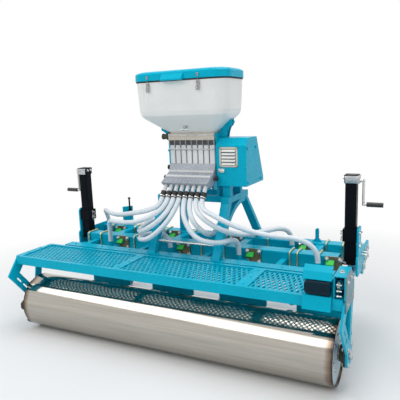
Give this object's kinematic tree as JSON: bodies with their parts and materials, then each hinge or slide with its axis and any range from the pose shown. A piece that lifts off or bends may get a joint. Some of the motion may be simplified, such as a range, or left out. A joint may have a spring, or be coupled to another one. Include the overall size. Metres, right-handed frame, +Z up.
{
  "type": "mounted seed drill with packer roller",
  "caption": "Mounted pneumatic row seeder on two toolbars with a hopper, seed hoses, mesh walkway and a smooth steel packer roller behind.",
  "frame": {"origin": "on the ground under the middle of the machine's length and width", "axes": "+X right seen from behind, along the roller; +Y forward, towards the hitch; +Z up"},
  "size_m": [2.5, 1.3384, 1.8163],
  "materials": {
    "bearing_paint": "dark olive cast iron",
    "black_paint": "black enamel",
    "black_rubber": "black rubber",
    "cast_steel": "worn cast steel",
    "clear_plastic": "translucent plastic",
    "cover_plastic": "grey-blue moulded plastic",
    "disc_paint": "pale blue-grey paint",
    "galvanised": "zinc plated steel",
    "green_plastic": "bright green plastic",
    "grey_plastic": "grey translucent plastic",
    "hose": "white translucent wire-wound hose",
    "meter_metal": "cast aluminium with dark cells",
    "paint": "gloss teal paint with light dust",
    "stainless": "polished stainless sheet with weld tint at the rims",
    "white_plastic": "white moulded plastic",
    "yellow_zinc": "yellow zinc plated steel",
    "zinc_steel": "bright zinc plated steel"
  },
  "bodies": {
    "main_frame": {"board_straps": "paint", "drive_housing": "paint", "frame_braces": "paint", "hitch_ears": "paint", "hopper_tank": "white_plastic", "hose_cuffs": "black_rubber", "jack_caps": "galvanised", "jack_cranks": "black_paint", "jack_sleeves": "black_paint", "jack_tubes": "black_paint", "levelling_boards": "paint", "lid_hinges": "zinc_steel", "lower_link_pins": "zinc_steel", "lower_link_plates": "paint", "meter_block": "meter_metal", "meter_cheeks": "paint", "meter_manifold": "grey_plastic", "meter_nozzles": "clear_plastic", "opener_shoes": "cast_steel", "pivot_pins": "zinc_steel", "seed_boots": "paint", "seed_chutes": "clear_plastic", "seed_hose_1": "hose", "seed_hose_2": "hose", "seed_hose_3": "hose", "seed_hose_4": "hose", "seed_hose_5": "hose", "seed_hose_6": "hose", "seed_hose_7": "hose", "seed_hose_8": "hose", "side_plates": "paint", "stand_cross_bars": "paint", "stand_front_legs": "paint", "stand_rear_legs": "paint", "stand_rod": "zinc_steel", "stand_top_bars": "paint", "strip_stubs": "paint", "toolbar_front": "paint", "toolbar_rear": "paint", "unit_clamps": "yellow_zinc", "unit_levers": "green_plastic", "unit_shanks": "paint", "walkway_strip": "paint"},
    "roller_frame": {"deck_frame": "paint", "deck_mesh": "paint", "roller_arms": "paint", "roller_bearings": "bearing_paint", "side_arms": "paint", "jack_pins": "zinc_steel", "lamp_bracket": "paint", "end_bracket": "paint", "end_cover": "cover_plastic"},
    "roller": {"roller_drum": "stainless", "roller_end_discs": "disc_paint", "roller_shafts": "zinc_steel"},
    "jack_leg_left": {"jack_leg_left": "galvanised"},
    "jack_leg_right": {"jack_leg_right": "galvanised"},
    "lid": {"hopper_lid": "paint"}
  },
  "joints": [
    {"name": "roller_lift", "type": "hinge", "parent": "main_frame", "child": "roller_frame", "pos_m": [0, 0.3, 0.474], "axis": [1, 0, 0], "range_deg": [-5, 5]},
    {"name": "roller_spin", "type": "hinge", "parent": "roller_frame", "child": "roller", "pos_m": [0, -0.42, 0.19], "axis": [1, 0, 0], "continuous": true},
    {"name": "jack_left_extend", "type": "slide", "parent": "main_frame", "child": "jack_leg_left", "axis": [0, 0, -1], "range_m": [-0.016, 0.016]},
    {"name": "jack_right_extend", "type": "slide", "parent": "main_frame", "child": "jack_leg_right", "axis": [0, 0, -1], "range_m": [-0.016, 0.016]},
    {"name": "lid_open", "type": "hinge", "parent": "main_frame", "child": "lid", "pos_m": [0, 0.267, 1.7623], "axis": [-1, 0, 0], "range_deg": [0, 95]}
  ],
  "couplings": [
    {"joint": "jack_left_extend", "follows": "roller_lift", "m_per_rad": 0.17},
    {"joint": "jack_right_extend", "follows": "roller_lift", "m_per_rad": 0.17}
  ]
}
